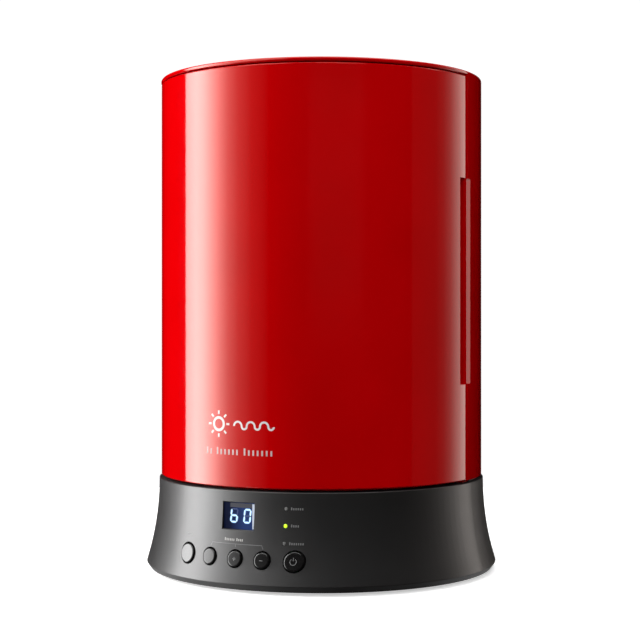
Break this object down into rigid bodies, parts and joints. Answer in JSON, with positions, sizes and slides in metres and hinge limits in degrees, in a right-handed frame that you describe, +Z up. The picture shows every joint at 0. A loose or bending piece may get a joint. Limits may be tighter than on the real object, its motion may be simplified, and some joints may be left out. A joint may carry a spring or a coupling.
{
  "type": "uv curing lamp",
  "caption": "Drum-shaped UV curing chamber with a hinged half-round door, a turntable inside and a flared base with a digit display and push buttons.",
  "frame": {"origin": "on the ground under the drum's axis, at the centre of the base", "axes": "+Z up, the control panel and the door face -Y, the door's free edge is on +X and its hinge on -X"},
  "size_m": [0.2398, 0.2398, 0.3339],
  "materials": {
    "base_black": "satin",
    "deck_black": "matte",
    "rubber_black": "matte",
    "screw_steel": "satin",
    "display_lens": "gloss",
    "display_black": "matte",
    "lens_grey": "satin",
    "lens_lit": "gloss",
    "led_white": "matte",
    "board_green": "satin",
    "board_white": "satin",
    "switch_black": "matte",
    "component_grey": "satin",
    "jack_black": "satin",
    "motor_zinc": "satin",
    "bush_white": "satin",
    "red_gloss": "gloss",
    "seal_foam": "matte",
    "reflector": "satin",
    "uv_emitter": "gloss",
    "spreader_aluminium": "satin",
    "magnet_nickel": "gloss",
    "turntable_aluminium": "satin",
    "button_black": "satin"
  },
  "bodies": {
    "cabinet": {"base_housing": "base_black", "base_deck": "deck_black", "bottom_plate": "deck_black", "rubber_feet": "rubber_black", "bottom_plate_screws": "screw_steel", "display_window": "display_lens", "display_module": "display_black", "indicator_lens_upper": "lens_grey", "indicator_lens_middle": "lens_lit", "indicator_lens_lower": "lens_grey", "indicator_leds": "led_white", "control_board": "board_green", "tact_switches": "switch_black", "board_brackets": "screw_steel", "driver_board": "board_green", "driver_components": "component_grey", "board_standoffs": "screw_steel", "dc_jack": "jack_black", "turntable_motor": "motor_zinc", "motor_screws": "screw_steel", "shaft_bush": "bush_white", "rear_shell": "red_gloss", "top_cover": "red_gloss", "door_frame": "red_gloss", "grip_pocket": "red_gloss", "door_seals": "seal_foam", "chamber_liner": "reflector", "ceiling_reflector": "reflector", "floor_reflector": "reflector", "uv_boards": "board_white", "uv_leds": "uv_emitter", "heat_spreaders": "spreader_aluminium", "catch_magnets": "magnet_nickel", "reed_switch": "switch_black", "shell_screws": "screw_steel"},
    "door": {"door_shell": "red_gloss", "door_liner": "reflector", "hinge_pins": "screw_steel", "hinge_washer": "switch_black", "keeper_plates": "screw_steel", "sensor_magnet": "magnet_nickel"},
    "turntable": {"turntable_plate": "turntable_aluminium", "drive_hub": "bush_white", "motor_shaft": "screw_steel"},
    "button_start": {"button_start": "button_black"},
    "button_preset": {"button_preset": "button_black"},
    "button_plus": {"button_plus": "button_black"},
    "button_minus": {"button_minus": "button_black"},
    "button_power": {"button_power": "button_black"}
  },
  "joints": [
    {"name": "door_hinge", "type": "hinge", "parent": "cabinet", "child": "door", "pos_m": [-0.10667, -0.00839, 0.1975], "axis": [0, 0, -1], "range_deg": [0, 110]},
    {"name": "turntable_spin", "type": "hinge", "parent": "cabinet", "child": "turntable", "pos_m": [0, 0, 0.0678], "axis": [0, 0, 1], "continuous": true},
    {"name": "button_start_press", "type": "slide", "parent": "cabinet", "child": "button_start", "axis": [0, 1, 0], "range_m": [0, 0.0006], "stiffness_N_per_m": 250},
    {"name": "button_preset_press", "type": "slide", "parent": "cabinet", "child": "button_preset", "axis": [0, 1, 0], "range_m": [0, 0.0006], "stiffness_N_per_m": 250},
    {"name": "button_plus_press", "type": "slide", "parent": "cabinet", "child": "button_plus", "axis": [0, 1, 0], "range_m": [0, 0.0006], "stiffness_N_per_m": 250},
    {"name": "button_minus_press", "type": "slide", "parent": "cabinet", "child": "button_minus", "axis": [0, 1, 0], "range_m": [0, 0.0006], "stiffness_N_per_m": 250},
    {"name": "button_power_press", "type": "slide", "parent": "cabinet", "child": "button_power", "axis": [0, 1, 0], "range_m": [0, 0.0006], "stiffness_N_per_m": 250}
  ]
}
